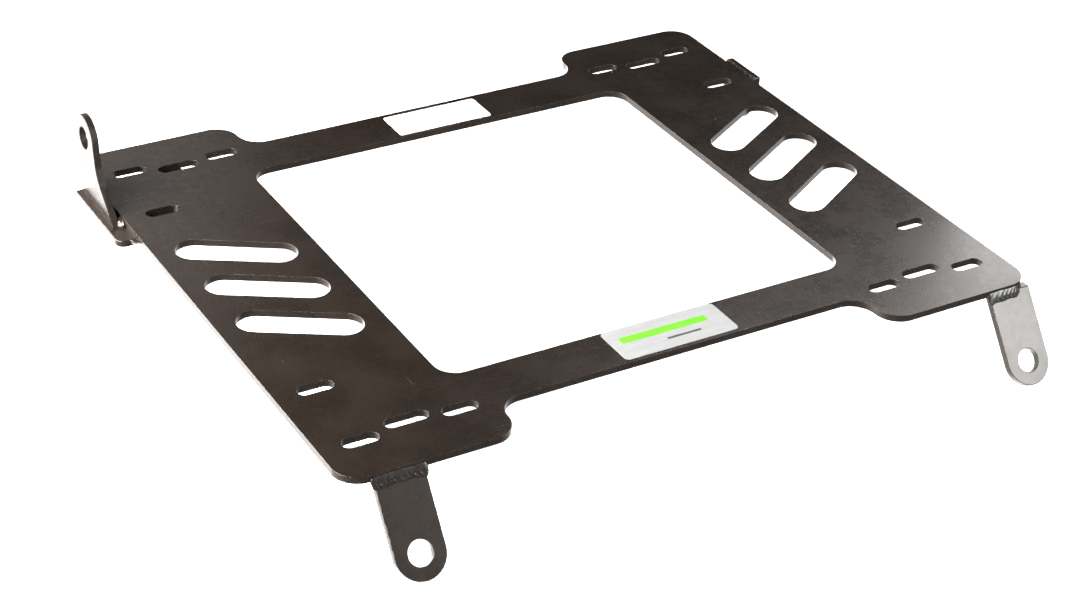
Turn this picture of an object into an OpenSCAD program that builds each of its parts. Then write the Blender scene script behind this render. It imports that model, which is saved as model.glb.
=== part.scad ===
// Seat mounting bracket: a flat steel base plate with four welded tabs.
// Millimetres. The origin is the centre of the seat-bolt slots on the plate's top face.
// X runs along the front and rear rails, Y points to the rear and Z points up.

/* [Base plate] */
// Width of the plate, from the left wing's edge to the right wing's
plate_w = 508; // [500:1:520]
// Depth of the plate, front to rear
plate_d = 428; // [424:1:440]
// Thickness of the sheet that the plate and the tabs are cut from
sheet_t = 4.76; // [4:0.01:6.35]
// Distance between the outer edges of the two rails
rail_span = 361; // [355:1:366]
// Distance between the inner sides of the wings at their ends
wing_gap = 274; // [266:1:280]
// Width of the central opening
opening_w = 303; // [296:1:306]
// Depth of the central opening
opening_d = 288; // [280:1:296]
// Corner radius of the central opening
opening_r = 15; // [8:1:25]
// Radius of the wings' corners and of the steps between wing and rail
corner_r = 16.7; // [10:0.1:17]

/* [Seat bolt slots] */
// Width of every slot
slot_w = 10; // [8:0.1:11]
// Length of the short slots, end to end
short_slot_l = 24.3; // [20:0.1:26]
// Length of the long slots, end to end
long_slot_l = 29.5; // [27:0.1:32]
// Left-to-right spacing of the outer slots, used by two patterns
outer_slot_x = 452.8; // [448:0.1:456]
// Front-to-rear spacing of the outer slots
outer_slot_y = 359.6; // [356:0.1:364]
// Left-to-right spacing of the middle slots
middle_slot_x = 385.4; // [382:0.1:388]
// Front-to-rear spacing of the middle slots
middle_slot_y = 345.2; // [340:0.1:350]
// Left-to-right spacing of the inner slots
inner_slot_x = 317.6; // [314:0.1:320]
// Front-to-rear spacing of the inner slots
inner_slot_y = 353.8; // [348:0.1:358]
// Front-to-rear spacing of the near slots, which lie in line with the outer ones
near_slot_y = 238; // [232:1:244]

/* [Lightening slots] */
// Width of a lightening slot
light_w = 25.5; // [20:0.5:27]
// Distance between the centres of a lightening slot's two round ends
light_l = 55.7; // [40:0.1:58]
// Slant of the lightening slots from left-to-right, outer end to the rear
light_angle = 30; // [20:1:36]
// Front-to-rear distance from one lightening slot to the next
light_pitch = 49; // [46:1:52]
// Distance of the lightening slots from the plate's middle
light_x = 203.4; // [201:0.1:206]

/* [Tabs] */
// Width of a tab, which is also the diameter of its round end
tab_w = 33.3; // [30:0.1:36]
// Diameter of a tab's bolt hole
tab_hole_d = 16; // [10:0.1:18]
// Slope of the front tabs from the vertical, lower end forward
front_slope = 36.7; // [20:0.1:45]
// Distance down the slope from the plate to the front tabs' holes
front_reach = 47.3; // [40:0.1:60]
// Place of the front left tab along the front edge
front_left_x = -218.5; // [-230:0.5:-200]
// Place of the front right tab along the front edge
front_right_x = 235.7; // [200:0.1:236]
// Gap between the plate's side edge and a rear tab
rear_gap = 3.2; // [2.5:0.1:4]
// Distance of the rear left tab's hole behind the plate's middle
rear_left_y = 167.6; // [163:0.1:172]
// Height of the rear left tab's hole above the plate's top face
rear_left_z = 40.6; // [35:0.1:50]
// Front end of the rear left tab where it stands on the foot plate
flare_front_y = 119.5; // [110:0.5:125]
// Distance of the rear right tab's hole behind the plate's middle
rear_right_y = 136; // [130:0.5:145]
// Depth of the rear right tab's hole below the plate's top face
rear_right_z = 26; // [24:0.5:32]
// Front end of the rear right tab, behind the plate's middle
rear_right_front_y = 113; // [108:0.5:116]

/* [Foot plate] */
// Distance that the foot plate stands out from the base plate's left edge
foot_out = 12.2; // [11:0.1:15]
// Width of the foot plate that lies under the base plate
foot_under = 65.5; // [60:0.5:68]
// Front end of the foot plate, behind the base plate's middle
foot_front_y = 100; // [95:1:105]
// Rear end of the foot plate, which lies under the front part of the outer seat slot
foot_rear_y = 179; // [174:0.5:180]
// Radius of the foot plate's outer front corner
foot_r = 6; // [3:0.5:8]

/* [Welds and labels] */
// Radius of the front weld beads' faces
front_bead_r = 6; // [5:0.1:7]
// Distance that a front bead runs past each side of its tab
bead_run_on = 2; // [0:0.5:3]
// Radius of the small weld beads
small_bead_r = 3.6; // [3:0.1:4.5]
// Thickness of the labels
label_t = 0.25; // [0.1:0.05:0.5]
// Width of the front label
front_label_w = 85; // [60:1:90]
// Depth of the front label
front_label_d = 33.5; // [20:0.5:34]
// Width of the rear label
rear_label_w = 75; // [60:1:90]
// Depth of the rear label
rear_label_d = 29.5; // [20:0.5:34]

/* [Hidden] */
$fn = 64;

tab_r = tab_w / 2;
edge_x = plate_w / 2;
front_y = -plate_d / 2;
rear_tab_in = edge_x + rear_gap;
foot_bottom = -2 * sheet_t;
cut = 1;            // how far a cutting shape passes the faces it cuts
far = 100;          // longer than any tab

left_flare_z = 20;  // height at which the rear left tab starts to widen into its foot
left_flare_in = 3.5;
left_flare_r = 26;  // radius of the hollow between the flare and the upright's front edge
right_flare_top = 8;     // depths between which the rear right tab narrows
right_flare_bottom = 20;
right_corner_r = 3;

front_bead_back = 2.4;   // from the plate's front face back to the bead's centre line
front_bead_down = 2.2;   // from the plate's underside down to the bead's centre line
gap_bead_front_y = 117;
gap_bead_rear_y = 129;
gap_bead_z = -3.6;
foot_bead_in = 45;       // how far the foot plate's bead runs in under the base plate
foot_bead_out = 4;
side_bead_r = 2.2;
side_bead_z = -1.7;

front_label_x = 1;
front_label_y = -161.2;
front_label_r = 3.5;
rear_label_x = 6.5;
rear_label_y = 161.2;
rear_label_r = 2;

powder_black = [0.10, 0.09, 0.085];
weld_black = [0.07, 0.065, 0.06];
label_silver = [0.80, 0.80, 0.79];
label_white = [0.95, 0.95, 0.94];

// A rectangle round its own centre, with round corners
module rounded_rect(w, d, r) {
    square([w - 2 * r, d], center = true);
    square([w, d - 2 * r], center = true);
    for (sx = [-1, 1], sy = [-1, 1])
        translate([sx * (w / 2 - r), sy * (d / 2 - r)])
            circle(r);
}

// A slot along X, from end to end
module slot_shape(l, w) {
    square([l - w, w], center = true);
    for (s = [-1, 1])
        translate([s * (l - w) / 2, 0])
            circle(d = w);
}

// Four slots on the corners of a rectangle
module slot_pattern(spacing_x, spacing_y, l) {
    for (sx = [-1, 1], sy = [-1, 1])
        translate([sx * spacing_x / 2, sy * spacing_y / 2])
            slot_shape(l, slot_w);
}

// The concave quarter round that leads a rail's outer edge up into a wing's end
module step_fillet() {
    difference() {
        translate([-corner_r, -cut])
            square([corner_r + cut, corner_r + cut]);
        translate([-corner_r, corner_r])
            circle(corner_r);
    }
}

module plate_outline() {
    wing_w = (plate_w - wing_gap) / 2;
    square([wing_gap + wing_w, rail_span], center = true);
    for (s = [-1, 1])
        translate([s * (edge_x - wing_w / 2), 0])
            rounded_rect(wing_w, plate_d, corner_r);
    for (mx = [0, 1], my = [0, 1])
        mirror([mx, 0])
            mirror([0, my])
                translate([wing_gap / 2, rail_span / 2])
                    step_fillet();
}

module lightening_slots() {
    for (side = [0, 1], row = [-1, 0, 1])
        mirror([side, 0])
            translate([light_x, row * light_pitch])
                rotate(light_angle)
                    slot_shape(light_l + light_w, light_w);
}

module base_plate() {
    color(powder_black)
        translate([0, 0, -sheet_t])
            linear_extrude(sheet_t)
                difference() {
                    plate_outline();
                    rounded_rect(opening_w, opening_d, opening_r);
                    slot_pattern(outer_slot_x, outer_slot_y, short_slot_l);
                    slot_pattern(middle_slot_x, middle_slot_y, long_slot_l);
                    slot_pattern(inner_slot_x, inner_slot_y, short_slot_l);
                    slot_pattern(outer_slot_x, near_slot_y, short_slot_l);
                    lightening_slots();
                }
}

// Lays a flat shape, drawn with its -Y end down the slope, on a front tab's front face
module on_front_slope(x) {
    translate([x, front_y, -sheet_t])
        rotate([90 - front_slope, 0, 0])
            translate([0, 0, -sheet_t])
                children();
}

// A front tab: round at the bottom and cut level at the top, against the plate's underside
module front_tab(x) {
    color(powder_black)
        difference() {
            on_front_slope(x)
                linear_extrude(sheet_t)
                    difference() {
                        union() {
                            translate([-tab_r, -front_reach])
                                square([tab_w, front_reach + 2 * sheet_t]);
                            translate([0, -front_reach])
                                circle(tab_r);
                        }
                        translate([0, -front_reach])
                            circle(d = tab_hole_d);
                    }
            translate([x - tab_w, front_y - far / 2, -sheet_t])
                cube([2 * tab_w, far, far]);
        }
}

module front_left_tab() {
    front_tab(front_left_x);
}

module front_right_tab() {
    front_tab(front_right_x);
}

// Turns a flat shape drawn as (Y, Z) into a sheet that stands across X, starting at x
module across_x(x) {
    translate([x, 0, 0])
        rotate([90, 0, 90])
            linear_extrude(sheet_t)
                children();
}

// Fills the corner where two edges meet at a point with a hollow of radius r. Both directions
// point away from the corner, and low_turn is the smaller of their two angles.
module corner_hollow(corner, low_turn, high_turn, r) {
    half = (high_turn - low_turn) / 2;
    reach = r / tan(half);
    middle = low_turn + half;
    far_low = corner + reach * [cos(low_turn), sin(low_turn)];
    far_high = corner + reach * [cos(high_turn), sin(high_turn)];
    centre = corner + r / sin(half) * [cos(middle), sin(middle)];
    difference() {
        polygon([corner, far_low, far_high]);
        translate(centre)
            circle(r, $fn = 180);
    }
}

// The upright at the rear left: round at the top, wider at the foot
module rear_left_tab() {
    front = rear_left_y - tab_r;
    rear = rear_left_y + tab_r;
    bend = [front - left_flare_in, left_flare_z];
    up_turn = atan2(rear_left_z - left_flare_z, left_flare_in);
    flare_turn = 180 + atan2(left_flare_z + sheet_t, bend.x - flare_front_y);
    color(powder_black)
        across_x(-rear_tab_in - sheet_t)
            difference() {
                union() {
                    translate([rear_left_y, rear_left_z])
                        circle(tab_r);
                    polygon([
                        [rear, rear_left_z],
                        [front, rear_left_z],
                        bend,
                        [flare_front_y, -sheet_t],
                        [foot_rear_y, -sheet_t],
                        [rear, rear - foot_rear_y - sheet_t]
                    ]);
                    corner_hollow(bend, up_turn, flare_turn, left_flare_r);
                }
                translate([rear_left_y, rear_left_z])
                    circle(d = tab_hole_d);
            }
}

// The flat plate under the base plate's left edge that the upright stands on
module rear_left_foot() {
    w = foot_out + foot_under;
    l = foot_rear_y - foot_front_y;
    color(powder_black)
        translate([-edge_x - foot_out, foot_front_y, foot_bottom])
            linear_extrude(sheet_t) {
                translate([foot_r, 0])
                    square([w - foot_r, l]);
                translate([0, foot_r])
                    square([w, l - foot_r]);
                translate([foot_r, foot_r])
                    circle(foot_r);
            }
}

// The tab at the rear right: level at the top, narrowing downward to a round end
module rear_right_tab() {
    front = rear_right_y - tab_r;
    rear = rear_right_y + tab_r;
    color(powder_black)
        across_x(rear_tab_in)
            difference() {
                union() {
                    translate([rear_right_y, -rear_right_z])
                        circle(tab_r);
                    polygon([
                        [rear, -rear_right_z],
                        [rear, -right_corner_r],
                        [rear - right_corner_r, 0],
                        [rear_right_front_y, 0],
                        [rear_right_front_y, -right_flare_top],
                        [front, -right_flare_bottom],
                        [front, -rear_right_z]
                    ]);
                    translate([rear - right_corner_r, -right_corner_r])
                        circle(right_corner_r);
                }
                translate([rear_right_y, -rear_right_z])
                    circle(d = tab_hole_d);
            }
}

// A round rod along X
module rod_x(x, y, z, l, r) {
    translate([x, y, z])
        rotate([0, 90, 0])
            cylinder(h = l, r = r);
}

// A round rod along Y
module rod_y(x, y, z, l, r) {
    translate([x, y, z])
        rotate([-90, 0, 0])
            cylinder(h = l, r = r);
}

// The bead that joins the plate's front face to a front tab's face
module front_weld(x) {
    l = tab_w + 2 * bead_run_on;
    color(weld_black)
        difference() {
            rod_x(x - l / 2, front_y + front_bead_back, -sheet_t - front_bead_down, l, front_bead_r);
            translate([x - l, front_y, -sheet_t])
                cube([2 * l, far, far]);
            on_front_slope(x)
                translate([-l, -far / 2, -far])
                    cube([2 * l, far, far + sheet_t]);
            translate([x - l, front_y - far, 0])
                cube([2 * l, 2 * far, far]);
        }
}

module front_left_weld() {
    front_weld(front_left_x);
}

module front_right_weld() {
    front_weld(front_right_x);
}

// The bead that fills the front end of the gap between the plate's edge and the upright
module rear_left_weld() {
    l = gap_bead_rear_y - gap_bead_front_y;
    color(weld_black)
        difference() {
            rod_y(-edge_x - rear_gap / 2, gap_bead_front_y, gap_bead_z, l, small_bead_r);
            translate([-edge_x, 0, -far])
                cube([far, 2 * far, 2 * far]);
            translate([-edge_x - far / 2, 0, -sheet_t - far])
                cube([far, 2 * far, far]);
            translate([-rear_tab_in - far, 0, -far])
                cube([far, 2 * far, 2 * far]);
        }
}

// The fillet along the foot plate's front edge, under the base plate
module rear_left_foot_weld() {
    l = foot_bead_out + foot_bead_in;
    color(weld_black)
        difference() {
            rod_x(-edge_x - foot_bead_out, foot_front_y, -sheet_t, l, small_bead_r);
            translate([-edge_x - far / 2, 0, -sheet_t])
                cube([2 * far, 2 * far, far]);
            translate([-edge_x - far / 2, foot_front_y, -sheet_t - far])
                cube([2 * far, far, 2 * far]);
        }
}

// The bead that fills the gap between the plate's right edge and its tab
module rear_right_weld() {
    y0 = rear_right_front_y + side_bead_r;
    y1 = rear_right_y + tab_r - right_corner_r;
    color(weld_black)
        difference() {
            rod_y(edge_x + rear_gap / 2, y0, side_bead_z, y1 - y0, side_bead_r);
            translate([edge_x - far, 0, -far])
                cube([far, 2 * far, 2 * far]);
            translate([rear_tab_in, 0, -far])
                cube([far, 2 * far, 2 * far]);
        }
}

module label(x, y, w, d, r) {
    translate([x, y, 0])
        linear_extrude(label_t)
            rounded_rect(w, d, r);
}

module front_label() {
    color(label_silver)
        label(front_label_x, front_label_y, front_label_w, front_label_d, front_label_r);
}

module rear_label() {
    color(label_white)
        label(rear_label_x, rear_label_y, rear_label_w, rear_label_d, rear_label_r);
}

base_plate();
front_left_tab();
front_right_tab();
rear_left_foot();
rear_left_tab();
rear_right_tab();
front_left_weld();
front_right_weld();
rear_left_weld();
rear_left_foot_weld();
rear_right_weld();
front_label();
rear_label();
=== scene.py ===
"""Looks, light and camera for the seat mounting bracket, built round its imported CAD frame.

Metres throughout. X runs along the rails, Y points to the rear and Z points up.
"""

import math
import random

import bmesh
import bpy
from mathutils import Matrix, Vector


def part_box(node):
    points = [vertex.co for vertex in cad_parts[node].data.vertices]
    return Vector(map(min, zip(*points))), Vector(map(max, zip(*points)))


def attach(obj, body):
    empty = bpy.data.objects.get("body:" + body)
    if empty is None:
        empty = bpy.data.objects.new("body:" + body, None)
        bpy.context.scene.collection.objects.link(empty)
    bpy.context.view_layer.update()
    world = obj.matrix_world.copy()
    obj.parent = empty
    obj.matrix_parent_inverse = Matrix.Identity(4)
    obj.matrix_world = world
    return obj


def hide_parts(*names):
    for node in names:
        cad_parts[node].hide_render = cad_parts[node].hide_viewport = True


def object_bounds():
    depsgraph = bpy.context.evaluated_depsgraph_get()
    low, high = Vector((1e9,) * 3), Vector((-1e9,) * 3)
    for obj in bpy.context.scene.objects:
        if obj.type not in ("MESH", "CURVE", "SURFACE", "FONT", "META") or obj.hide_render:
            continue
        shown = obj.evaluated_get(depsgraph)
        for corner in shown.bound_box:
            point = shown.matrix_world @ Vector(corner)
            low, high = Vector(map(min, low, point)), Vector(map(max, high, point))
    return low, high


MM = 0.001
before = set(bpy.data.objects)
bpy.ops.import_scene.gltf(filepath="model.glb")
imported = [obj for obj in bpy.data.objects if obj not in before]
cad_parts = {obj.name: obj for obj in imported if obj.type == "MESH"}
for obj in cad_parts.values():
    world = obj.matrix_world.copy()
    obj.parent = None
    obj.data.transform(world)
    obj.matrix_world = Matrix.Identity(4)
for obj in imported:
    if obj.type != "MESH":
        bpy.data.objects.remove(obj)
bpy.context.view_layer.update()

# ---------------------------------------------------------------- camera
CAMERA_PLACE = Vector((-0.7255, -1.1740, 0.7890))
CAMERA_AZIMUTH = math.radians(-31.61)
CAMERA_ELEVATION = math.radians(31.69)
CAMERA_ROLL = math.radians(2.895)
LENS_MM = 78.63
SENSOR_MM = 36.0

# ---------------------------------------------------------------- sizes
EDGE_ROUND = 0.5 * MM  # rounding that the coating leaves on a cut edge
LABEL_ROUND = 0.06 * MM
FLOOR_GAP = 0.4 * MM
FLOOR_REACH = 14.0
CORNER_RADIUS = 16.7 * MM  # the plate's outer corners
TAB_SLOPE = math.radians(36.7)  # the front tabs, from the vertical

# ---------------------------------------------------------------- weld bead sizes
RIPPLE_PITCH = 4.0 * MM  # from one weld ripple to the next
RIPPLE_HEIGHT = 0.9 * MM
RIPPLE_LAG = 1.1 * RIPPLE_PITCH  # how far a crescent bows along the bead
TOE_SINK = 0.25 * MM  # how deep a bead's toes lie in the metal
BEAD_END = 3.0 * MM  # length over which a bead's end rounds off
BEAD_RUN_ON = 2.0 * MM  # how far a front bead passes its tab
BEAD_POINTS = 14  # points across a bead's face
STEPS_PER_RIPPLE = 14
ROUTE_STEPS = 16  # points along a front bead's root

# ---------------------------------------------------------------- light
WHITE = (1.0, 1.0, 1.0)
# Brightness of the surroundings by direction, as glossy surfaces mirror them
TABLE_REAR = 6.7
TABLE_SIDE = 2.1
TABLE_FRONT = 0.30
HORIZON = 0.42
CEILING = 0.008

plate_low, plate_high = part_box("base_plate")


def look_from(azimuth, elevation, roll=0.0):
    """Axes of a camera or lamp that stands at this azimuth and elevation and faces the origin."""
    back = Vector(
        (
            math.sin(azimuth) * math.cos(elevation),
            -math.cos(azimuth) * math.cos(elevation),
            math.sin(elevation),
        )
    )
    level = Vector((math.cos(azimuth), math.sin(azimuth), 0.0))
    upright = back.cross(level)
    right = level * math.cos(roll) + upright * math.sin(roll)
    up = back.cross(right)
    return Matrix((right, up, back)).transposed()


def add_camera():
    data = bpy.data.cameras.new("camera")
    data.lens = LENS_MM
    data.sensor_width = SENSOR_MM
    data.clip_start = 0.01
    data.clip_end = 100.0
    camera = bpy.data.objects.new("camera", data)
    bpy.context.scene.collection.objects.link(camera)
    turn = look_from(CAMERA_AZIMUTH, CAMERA_ELEVATION, CAMERA_ROLL)
    camera.matrix_world = Matrix.Translation(CAMERA_PLACE) @ turn.to_4x4()
    bpy.context.scene.camera = camera


# ---------------------------------------------------------------- shader helpers
RANGE = ("From Min", "From Max", "To Min", "To Max")  # a Map Range node's sockets


class Shader:
    """A material's node tree, with short ways to add and join nodes."""

    def __init__(self, name):
        self.material = bpy.data.materials.new(name)
        self.material.use_nodes = True
        self.tree = self.material.node_tree
        self.tree.nodes.clear()
        self.output = self.node("ShaderNodeOutputMaterial")
        self.surface = self.node("ShaderNodeBsdfPrincipled")
        self.join(self.surface.outputs["BSDF"], self.output.inputs["Surface"])
        self.place = self.node("ShaderNodeTexCoord").outputs["Object"]

    def node(self, kind, **values):
        made = self.tree.nodes.new(kind)
        for key, value in values.items():
            setattr(made, key, value)
        return made

    def join(self, source, target):
        self.tree.links.new(source, target)

    def feed(self, target, value):
        """Gives a socket a link if value is a socket, and a plain number or colour if not."""
        if isinstance(value, bpy.types.NodeSocket):
            self.join(value, target)
        else:
            target.default_value = value

    def stretch(self, scale, turn=(0.0, 0.0, 0.0)):
        """Object coordinates turned and then scaled, for marks that run one way."""
        mapping = self.node("ShaderNodeMapping")
        mapping.inputs["Rotation"].default_value = turn
        mapping.inputs["Scale"].default_value = scale
        self.join(self.place, mapping.inputs["Vector"])
        return mapping.outputs["Vector"]

    def noise(self, size, detail=3.0, rough=0.5, vector=None):
        """Noise whose features are about size metres across."""
        made = self.node("ShaderNodeTexNoise")
        made.inputs["Scale"].default_value = 1.0 / size
        made.inputs["Detail"].default_value = detail
        made.inputs["Roughness"].default_value = rough
        self.join(vector or self.place, made.inputs["Vector"])
        return made.outputs["Fac"]

    def specks(self, spacing, radius, share):
        """1 inside small round specks: one cell in every 1/share has one."""
        cells = self.node("ShaderNodeTexVoronoi", feature="F1")
        cells.inputs["Scale"].default_value = 1.0 / spacing
        self.join(self.place, cells.inputs["Vector"])
        split = self.node("ShaderNodeSeparateColor")
        self.join(cells.outputs["Color"], split.inputs["Color"])
        size = self.math("MULTIPLY", split.outputs["Green"], radius / spacing)
        inside = self.math("LESS_THAN", cells.outputs["Distance"], size)
        chosen = self.math("LESS_THAN", split.outputs["Red"], share)
        return self.math("MULTIPLY", inside, chosen)

    def math(self, operation, first, second=0.0):
        made = self.node("ShaderNodeMath", operation=operation)
        self.feed(made.inputs[0], first)
        self.feed(made.inputs[1], second)
        return made.outputs[0]

    def remap(self, value, low, high, to_low=0.0, to_high=1.0):
        made = self.node("ShaderNodeMapRange", interpolation_type="SMOOTHSTEP")
        self.feed(made.inputs["Value"], value)
        for key, number in zip(RANGE, (low, high, to_low, to_high)):
            self.feed(made.inputs[key], number)
        return made.outputs["Result"]

    def blend(self, share, first, second):
        made = self.node("ShaderNodeMix", data_type="RGBA")
        self.feed(made.inputs["Factor"], share)
        self.feed(made.inputs["A"], first)
        self.feed(made.inputs["B"], second)
        return made.outputs["Result"]

    def bump(self, height, depth, under=None):
        """Bump of that depth in metres over an earlier bump."""
        made = self.node("ShaderNodeBump")
        made.inputs["Strength"].default_value = 1.0
        made.inputs["Distance"].default_value = depth
        self.feed(made.inputs["Height"], height)
        if under is not None:
            self.join(under, made.inputs["Normal"])
        return made.outputs["Normal"]

    def finish(self, colour, roughness, normal):
        self.feed(self.surface.inputs["Base Color"], colour)
        self.feed(self.surface.inputs["Roughness"], roughness)
        self.join(normal, self.surface.inputs["Normal"])
        return self.material


# ---------------------------------------------------------------- materials
BLACK_DEEP = (0.0080, 0.0057, 0.0043, 1.0)
BLACK_LIGHT = (0.0112, 0.0080, 0.0062, 1.0)
# Painted highlight: a lighter colour that stands for the thin light lines on the edge roundings
EDGE_HIGHLIGHT = (0.085, 0.078, 0.072, 1.0)
SCUFF = (0.055, 0.050, 0.046, 1.0)
DUST = (0.45, 0.43, 0.40, 1.0)


def cut_lines(shader):
    """Fine upright lines that the laser leaves on the cut faces, nought on the flat faces."""
    lines = shader.noise(1.0, detail=2.0, vector=shader.stretch((1400.0, 1400.0, 60.0)))
    facing = shader.node("ShaderNodeTexCoord").outputs["Normal"]
    split = shader.node("ShaderNodeSeparateXYZ")
    shader.join(facing, split.inputs["Vector"])
    lean = shader.math("ABSOLUTE", split.outputs["Z"])
    wall = shader.remap(lean, 0.35, 0.15)
    return shader.math("MULTIPLY", lines, wall)


def powder_coat(name, edge_highlight=0.0):
    """Satin black powder coat: orange peel, soft mottling, scuffs, a little dust and, if asked for the
    edge roundings, patches of painted highlight.
    """
    s = Shader(name)
    mottle = s.noise(38 * MM, detail=4.0)
    cloud = s.noise(7 * MM, detail=5.0, rough=0.6)
    peel = s.noise(1.1 * MM, detail=2.0)
    grain = s.noise(0.32 * MM, detail=1.0)
    colour = s.blend(s.remap(mottle, 0.3, 0.7), BLACK_DEEP, BLACK_LIGHT)
    along = s.noise(1.0, detail=2.0, vector=s.stretch((9.0, 900.0, 300.0), (0.0, 0.0, 0.62)))
    across = s.noise(1.0, detail=2.0, vector=s.stretch((700.0, 14.0, 300.0), (0.0, 0.0, 0.25)))
    where = s.remap(s.noise(55 * MM, detail=3.0), 0.50, 0.66)
    hair = s.math("MAXIMUM", s.remap(along, 0.70, 0.78), s.remap(across, 0.71, 0.79))
    scuffs = s.math("MULTIPLY", hair, where)
    colour = s.blend(s.math("MULTIPLY", scuffs, 0.55), colour, SCUFF)
    # Painted highlight: noise patches of a lighter colour on the edge roundings
    if edge_highlight:
        highlight_patches = s.remap(s.noise(4.5 * MM, detail=5.0, rough=0.65), 0.46, 0.66, 0.0, edge_highlight)
        colour = s.blend(highlight_patches, colour, EDGE_HIGHLIGHT)
    dust = s.specks(9 * MM, 0.32 * MM, 0.22)
    lint = s.specks(3.1 * MM, 0.11 * MM, 0.30)
    colour = s.blend(s.math("MULTIPLY", s.math("MAXIMUM", dust, lint), 0.75), colour, DUST)
    roughness = s.math("ADD", s.remap(cloud, 0.2, 0.8, 0.25, 0.31), s.math("MULTIPLY", scuffs, 0.12))
    roughness = s.math("ADD", roughness, s.remap(mottle, 0.3, 0.7, -0.02, 0.02))
    normal = s.bump(peel, 0.040 * MM)
    normal = s.bump(grain, 0.007 * MM, normal)
    normal = s.bump(cut_lines(s), 0.05 * MM, normal)
    s.surface.inputs["Specular Tint"].default_value = (1.0, 0.95, 0.91, 1.0)
    return s.finish(colour, roughness, normal)


def weld_coat(name):
    """The same coat over a weld bead, where it pools and shines."""
    s = Shader(name)
    mottle = s.noise(3 * MM, detail=4.0)
    grain = s.noise(0.35 * MM, detail=3.0)
    colour = s.blend(s.remap(mottle, 0.3, 0.7), BLACK_DEEP, BLACK_LIGHT)
    pits = s.specks(1.6 * MM, 0.10 * MM, 0.35)
    colour = s.blend(s.math("MULTIPLY", pits, 0.6), colour, SCUFF)
    roughness = s.remap(mottle, 0.25, 0.75, 0.22, 0.34)
    normal = s.bump(grain, 0.03 * MM)
    s.surface.inputs["Coat Weight"].default_value = 0.15
    s.surface.inputs["Coat Roughness"].default_value = 0.20
    return s.finish(colour, roughness, normal)


def vinyl(name, colour_a, colour_b, rough_low, rough_high):
    """Label stock or printing ink: faint fibre, faint smears and a few specks."""
    s = Shader(name)
    smear = s.noise(1.0, detail=3.0, vector=s.stretch((60.0, 260.0, 100.0), (0.0, 0.0, 0.2)))
    fibre = s.noise(0.5 * MM, detail=3.0)
    colour = s.blend(s.remap(smear, 0.35, 0.65), colour_a, colour_b)
    marks = s.specks(6 * MM, 0.16 * MM, 0.18)
    colour = s.blend(s.math("MULTIPLY", marks, 0.35), colour, SCUFF)
    roughness = s.remap(smear, 0.3, 0.7, rough_low, rough_high)
    normal = s.bump(fibre, 0.006 * MM)
    normal = s.bump(s.noise(14 * MM, detail=2.0), 0.12 * MM, normal)
    return s.finish(colour, roughness, normal)


# ---------------------------------------------------------------- sheet parts
def round_edges(node, width, segments, face_material, edge_material):
    """Keeps a CAD node's shape, rounds its cut edges and gives the rounding its own finish."""
    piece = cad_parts[node]
    piece.data.materials.clear()
    piece.data.materials.append(face_material)
    piece.data.materials.append(edge_material)
    for polygon in piece.data.polygons:
        polygon.material_index = 0
        polygon.use_smooth = True
    weld = piece.modifiers.new("weld", "WELD")
    weld.merge_threshold = 0.002 * MM
    flat = piece.modifiers.new("flat", "DECIMATE")
    flat.decimate_type = "DISSOLVE"
    flat.angle_limit = math.radians(0.5)
    bevel = piece.modifiers.new("bevel", "BEVEL")
    bevel.width = width
    bevel.segments = segments
    bevel.limit_method = "ANGLE"
    bevel.angle_limit = math.radians(34)
    bevel.material = 1
    normals = piece.modifiers.new("normals", "WEIGHTED_NORMAL")
    normals.weight = 90


# ---------------------------------------------------------------- weld beads
def ripple_height(along, across, ripples):
    """Height of the overlapping crescents, 0 to 1, at a place along and across a bead."""
    place = along + RIPPLE_LAG * math.sin(math.pi * across)
    for start, end, height in ripples:
        if start <= place < end:
            part = (place - start) / (end - start)
            return height * part**2 * (1.0 - part**8)
    return 0.0


def ripple_list(length, rng):
    """Start, end and height of each ripple, with a hand's unevenness."""
    ripples = []
    start = -RIPPLE_PITCH
    while start < length + 2 * RIPPLE_PITCH:
        step = RIPPLE_PITCH * rng.uniform(0.7, 1.3)
        ripples.append((start, start + step, rng.uniform(0.35, 1.0)))
        start += step
    return ripples


def end_swell(from_end, end_round):
    """Share of its full size that a bead has at this distance from its nearer end."""
    swell = 1.0
    if from_end < end_round:
        swell = math.sqrt(max(0.0, 1.0 - (1.0 - from_end / end_round) ** 2))
    return 0.12 + 0.88 * swell


def close_rings(mesh, rings):
    """Joins rings of points into a closed tube."""
    for before, after in zip(rings, rings[1:]):
        for j in range(len(before)):
            k = (j + 1) % len(before)
            mesh.faces.new((before[j], before[k], after[k], after[j]))
    mesh.faces.new(list(reversed(rings[0])))
    mesh.faces.new(rings[-1])
    bmesh.ops.recalc_face_normals(mesh, faces=mesh.faces)
    for face in mesh.faces:
        face.smooth = True


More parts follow.
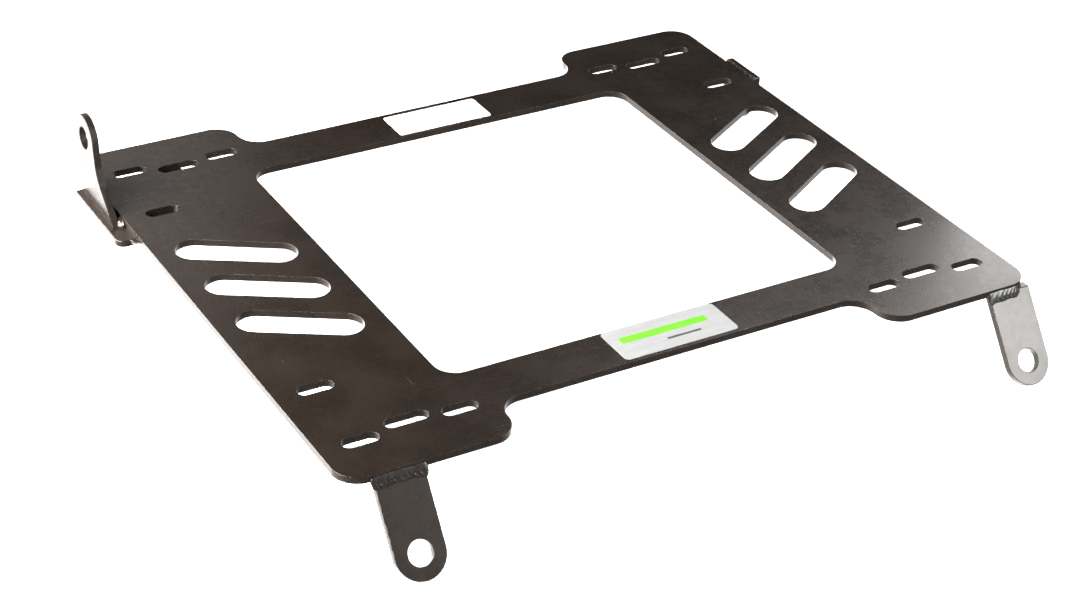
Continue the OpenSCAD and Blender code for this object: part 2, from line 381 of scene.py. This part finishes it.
def weld_bead(name, node, route, toe_a, toe_b, bulge, seed, ripple=RIPPLE_HEIGHT, end_round=BEAD_END):
    """A closed bead along route. toe_a and toe_b give each toe from the root at a share of the way."""
    length = sum((q - p).length for p, q in zip(route, route[1:]))
    ripples = ripple_list(length, random.Random(seed))
    count = max(12, int(length / RIPPLE_PITCH * STEPS_PER_RIPPLE))
    mesh = bmesh.new()
    rings = []
    for i in range(count + 1):
        share = i / count
        along = share * length
        root = point_along(route, along)
        swell = end_swell(min(along, length - along), end_round)
        first, second = toe_a(share), toe_b(share)
        out = (first + second).normalized()
        wander = 1.0 + 0.05 * math.sin(along / RIPPLE_PITCH * 2.1 + seed)
        ring = []
        for j in range(BEAD_POINTS + 1):
            across = j / BEAD_POINTS
            chord = first.lerp(second, across) * swell * wander
            crown = math.sin(math.pi * across) ** 0.5
            rise = bulge * 4 * across * (1 - across) * swell
            rise += ripple * swell * ripple_height(along, across, ripples) * crown
            if j in (0, BEAD_POINTS):
                rise -= TOE_SINK
            ring.append(mesh.verts.new(root + chord + out * rise))
        ring.append(mesh.verts.new(root - out * TOE_SINK * 2))
        rings.append(ring)
    close_rings(mesh, rings)
    return add_piece(name, mesh, weld_material, node)


def point_along(route, distance):
    """The point that lies this far along a broken line."""
    for p, q in zip(route, route[1:]):
        step = (q - p).length
        if distance <= step:
            return p.lerp(q, distance / step)
        distance -= step
    return route[-1].copy()


def add_piece(name, mesh, material, node):
    """A new mesh object on the root body. It stands for a CAD node if one is named."""
    data = bpy.data.meshes.new(name)
    mesh.to_mesh(data)
    mesh.free()
    data.materials.append(material)
    piece = bpy.data.objects.new(name, data)
    bpy.context.scene.collection.objects.link(piece)
    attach(piece, "root")
    if node:
        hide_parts(node)
    return piece


def corner_line(x, radius):
    """How far the plate's front edge has curved back at x, for its rounded right corner."""
    start = plate_high.x - radius
    if x <= start:
        return 0.0
    return radius - math.sqrt(max(0.0, radius**2 - (x - start) ** 2))


def fixed_toe(x, y, z):
    """A toe that keeps its place, given in millimetres from the root, all along a bead."""
    place = Vector((x, y, z)) * MM
    return lambda share: place


def front_beads():
    """The two beads between the plate's front face and the front tabs."""
    down = Vector((0.0, -math.sin(TAB_SLOPE), -math.cos(TAB_SLOPE))) * 5.3 * MM

    def toe_down(share):
        return down * (1.0 + 0.30 * abs(2 * share - 1) ** 3)

    for side, seed, past_end in (("left", 3, BEAD_RUN_ON), ("right", 8, -2 * BEAD_RUN_ON)):
        low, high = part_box(f"front_{side}_tab")
        start, end = low.x - BEAD_RUN_ON, high.x + past_end
        route = []
        for i in range(ROUTE_STEPS + 1):
            x = start + (end - start) * i / ROUTE_STEPS
            route.append(Vector((x, plate_low.y + corner_line(x, CORNER_RADIUS), plate_low.z)))
        toe_up = fixed_toe(0.0, 0.0, 3.2)
        weld_bead(f"{side}_front_bead", f"front_{side}_weld", route, toe_up, toe_down, 0.3 * MM, seed)


def rear_left_bead():
    """The short bead in the gap between the plate's left edge and the upright."""
    weld_low, weld_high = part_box("rear_left_weld")
    gap = plate_low.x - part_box("rear_left_tab")[1].x
    x, z = plate_low.x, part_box("rear_left_foot")[1].z
    route = [Vector((x, weld_low.y, z)), Vector((x, weld_high.y, z))]

    def toe_foot(share):
        past_gap = 1.4 if share < 0.5 else 0.6
        return Vector((-(gap + past_gap * MM), 0.0, 0.0))

    toe_plate = fixed_toe(0.0, 0.0, 4.3)
    weld_bead(
        "rear_left_bead", "rear_left_weld", route, toe_plate, toe_foot, 0.8 * MM, 5, end_round=4.5 * MM
    )


def foot_plate_bead():
    """The fillet along the foot plate's front edge, under the base plate."""
    bead_low, bead_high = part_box("rear_left_foot_weld")
    foot_low, foot_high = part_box("rear_left_foot")
    route = [Vector((x, foot_low.y, foot_high.z)) for x in (bead_low.x, bead_high.x)]
    leg = 3.6
    toe_under, toe_front = fixed_toe(0.0, -leg, 0.0), fixed_toe(0.0, 0.0, -leg)
    weld_bead("foot_plate_bead", "rear_left_foot_weld", route, toe_under, toe_front, 0.5 * MM, 11)


def rear_right_bead():
    """The bead that fills the gap between the plate's right edge and its tab."""
    right_low, right_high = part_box("rear_right_weld")
    tab_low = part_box("rear_right_tab")[0]
    middle = (plate_high.x + tab_low.x) / 2
    half = (tab_low.x - plate_high.x) / 2 / MM + 0.1
    root_depth, rise = -3.4 * MM, 2.9
    route = [Vector((middle, y, root_depth)) for y in (right_low.y, right_high.y)]
    toe_left, toe_right = fixed_toe(-half, 0.0, rise), fixed_toe(half, 0.0, rise)
    weld_bead(
        "rear_right_bead", "rear_right_weld", route, toe_left, toe_right, 0.25 * MM, 14, ripple=0.3 * MM
    )


# ---------------------------------------------------------------- label print
def rounded_bar(name, centre, size, radius, height, material):
    """A thin printed bar with round corners, lying on a label."""
    mesh = bmesh.new()
    outline = []
    for corner, (sx, sy) in enumerate(((1, 1), (-1, 1), (-1, -1), (1, -1))):
        middle = Vector((sx * (size[0] / 2 - radius), sy * (size[1] / 2 - radius), 0.0))
        for i in range(9):
            turn = math.pi / 2 * (corner + i / 8)
            outline.append(centre + middle + Vector((math.cos(turn), math.sin(turn), 0.0)) * radius)
    low = [mesh.verts.new(p) for p in outline]
    high = [mesh.verts.new(p + Vector((0.0, 0.0, height))) for p in outline]
    mesh.faces.new(list(reversed(low)))
    mesh.faces.new(high)
    for i in range(len(low)):
        j = (i + 1) % len(low)
        mesh.faces.new((low[i], low[j], high[j], high[i]))
    piece = add_piece(name, mesh, material, None)


def label_print():
    """A plain green band and a short dark rule: a generic design with no lettering."""
    low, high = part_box("front_label")
    width, depth = high.x - low.x, high.y - low.y
    sink = 0.03 * MM
    green = vinyl("green_ink", (0.085, 0.36, 0.007, 1.0), (0.115, 0.42, 0.012, 1.0), 0.40, 0.50)
    grey = vinyl("grey_ink", (0.035, 0.035, 0.032, 1.0), (0.06, 0.06, 0.056, 1.0), 0.45, 0.55)
    band = Vector((low.x + width * 0.47, low.y + depth * 0.60, high.z - sink))
    rounded_bar("label_band", band, (width * 0.76, depth * 0.20), 1.2 * MM, 0.05 * MM, green)
    rule = Vector((low.x + width * 0.58, low.y + depth * 0.30, high.z - sink))
    rounded_bar("label_rule", rule, (width * 0.30, depth * 0.06), 0.8 * MM, 0.05 * MM, grey)


# ---------------------------------------------------------------- stage
def softbox(name, azimuth, elevation, distance, width, height, radiance, colour=WHITE, aim=(0, 0, 0)):
    """A rectangular lamp that faces the point aim. radiance is how bright its face is."""
    data = bpy.data.lights.new(name, "AREA")
    data.shape = "RECTANGLE"
    data.size, data.size_y = width, height
    data.energy = radiance * math.pi * width * height
    data.color = colour
    lamp = bpy.data.objects.new(name, data)
    bpy.context.scene.collection.objects.link(lamp)
    turn = look_from(math.radians(azimuth), math.radians(elevation))
    lamp.matrix_world = turn.to_4x4()
    lamp.location = Vector(aim) + turn.col[2] * distance
    lamp.visible_camera = False


def add_world():
    """A grey horizon under a dark ceiling. Below it, a bright table to the rear and a dim one in front."""
    world = bpy.data.worlds.new("studio")
    bpy.context.scene.world = world
    world.use_nodes = True
    nodes, links = world.node_tree.nodes, world.node_tree.links
    split = nodes.new("ShaderNodeSeparateXYZ")
    links.new(nodes.new("ShaderNodeTexCoord").outputs["Generated"], split.inputs["Vector"])

    def fade(source, low, high, to_low, to_high):
        made = nodes.new("ShaderNodeMapRange")
        made.interpolation_type = "SMOOTHSTEP"
        links.new(source, made.inputs["Value"])
        for key, number in zip(RANGE, (low, high, to_low, to_high)):
            if isinstance(number, bpy.types.NodeSocket):
                links.new(number, made.inputs[key])
            else:
                made.inputs[key].default_value = number
        return made.outputs["Result"]

    aside = nodes.new("ShaderNodeMath")
    aside.operation = "ABSOLUTE"
    links.new(split.outputs["X"], aside.inputs[0])
    behind = fade(aside.outputs[0], 0.26, 0.42, TABLE_REAR, TABLE_SIDE)
    table = fade(split.outputs["Y"], -0.45, 0.55, TABLE_FRONT, behind)
    below = fade(split.outputs["Z"], -0.12, -0.02, table, HORIZON)
    strength = fade(split.outputs["Z"], 0.10, 0.34, below, CEILING)
    links.new(strength, nodes["Background"].inputs["Strength"])
    nodes["Background"].inputs["Color"].default_value = (1.0, 1.0, 1.0, 1.0)


def add_floor():
    """A wide white table. Glossy surfaces mirror the world's lower half in its place."""
    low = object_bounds()[0].z - FLOOR_GAP
    r = FLOOR_REACH
    mesh = bmesh.new()
    mesh.faces.new([mesh.verts.new((x, y, low)) for x, y in ((-r, -r), (r, -r), (r, r), (-r, r))])
    data = bpy.data.meshes.new("floor")
    mesh.to_mesh(data)
    mesh.free()
    floor = bpy.data.objects.new("floor", data)
    bpy.context.scene.collection.objects.link(floor)
    floor.visible_glossy = False
    s = Shader("table_white")
    away = s.node("ShaderNodeVectorMath", operation="LENGTH")
    s.join(s.place, away.inputs[0])
    s.surface.inputs["Base Color"].default_value = (0.75, 0.75, 0.75, 1.0)
    s.surface.inputs["Roughness"].default_value = 0.9
    s.surface.inputs["Specular IOR Level"].default_value = 0.0
    s.surface.inputs["Emission Color"].default_value = (1.0, 1.0, 1.0, 1.0)
    s.join(s.remap(away.outputs["Value"], 0.35, 1.6, 0.60, 1.0), s.surface.inputs["Emission Strength"])
    clear = s.node("ShaderNodeBsdfTransparent")
    mix = s.node("ShaderNodeMixShader")
    s.join(s.node("ShaderNodeNewGeometry").outputs["Backfacing"], mix.inputs["Fac"])
    s.join(s.surface.outputs["BSDF"], mix.inputs[1])
    s.join(clear.outputs["BSDF"], mix.inputs[2])
    s.join(mix.outputs["Shader"], s.output.inputs["Surface"])
    data.materials.append(s.material)


def add_lights():
    """Soft lamps for the camera's side: four at the right, three in front, one each at left and rear."""
    right_corner = (0.24, -0.20, 0.0)
    softbox("right_near", 130, 22, 0.37, 0.15, 0.15, 4.9, aim=right_corner)
    softbox("right_rear", 118, 36, 1.5, 0.3, 0.3, 8.0)
    softbox("right_high", 130, 46, 1.3, 0.3, 0.3, 5.3)
    softbox("right_front", 40, 23, 1.0, 0.4, 0.5, 16.5, (0.96, 0.985, 1.0))
    softbox("front", 15, 35, 1.5, 0.6, 0.5, 1.0)
    softbox("front_low", 11, 17, 1.5, 0.5, 0.2, 1.7)
    softbox("front_high", 30, 54, 1.6, 0.5, 0.4, 4.0)
    softbox("left", -100, 21, 0.9, 1.4, 0.3, 60.0, (1.0, 0.96, 0.93))
    softbox("rear", 172, 28, 1.5, 0.3, 0.2, 1.7)


# ---------------------------------------------------------------- build
add_camera()
coat = powder_coat("powder_coat_black")
# The coat for the rounded edges, with patches of painted highlight
coat_edge = powder_coat("powder_coat_edge", edge_highlight=0.55)
weld_material = weld_coat("powder_coat_weld")
for part in (
    "base_plate",
    "front_left_tab",
    "front_right_tab",
    "rear_left_foot",
    "rear_left_tab",
    "rear_right_tab",
):
    round_edges(part, EDGE_ROUND, 3, coat, coat_edge)
silver = vinyl("label_silver", (0.245, 0.25, 0.255, 1.0), (0.27, 0.275, 0.28, 1.0), 0.38, 0.48)
white = vinyl("label_white", (0.86, 0.86, 0.85, 1.0), (0.92, 0.92, 0.91, 1.0), 0.40, 0.52)
round_edges("front_label", LABEL_ROUND, 2, silver, silver)
round_edges("rear_label", LABEL_ROUND, 2, white, white)
front_beads()
rear_left_bead()
foot_plate_bead()
rear_right_bead()
label_print()

add_world()
add_floor()
add_lights()
bpy.context.scene.view_settings.view_transform = "Standard"
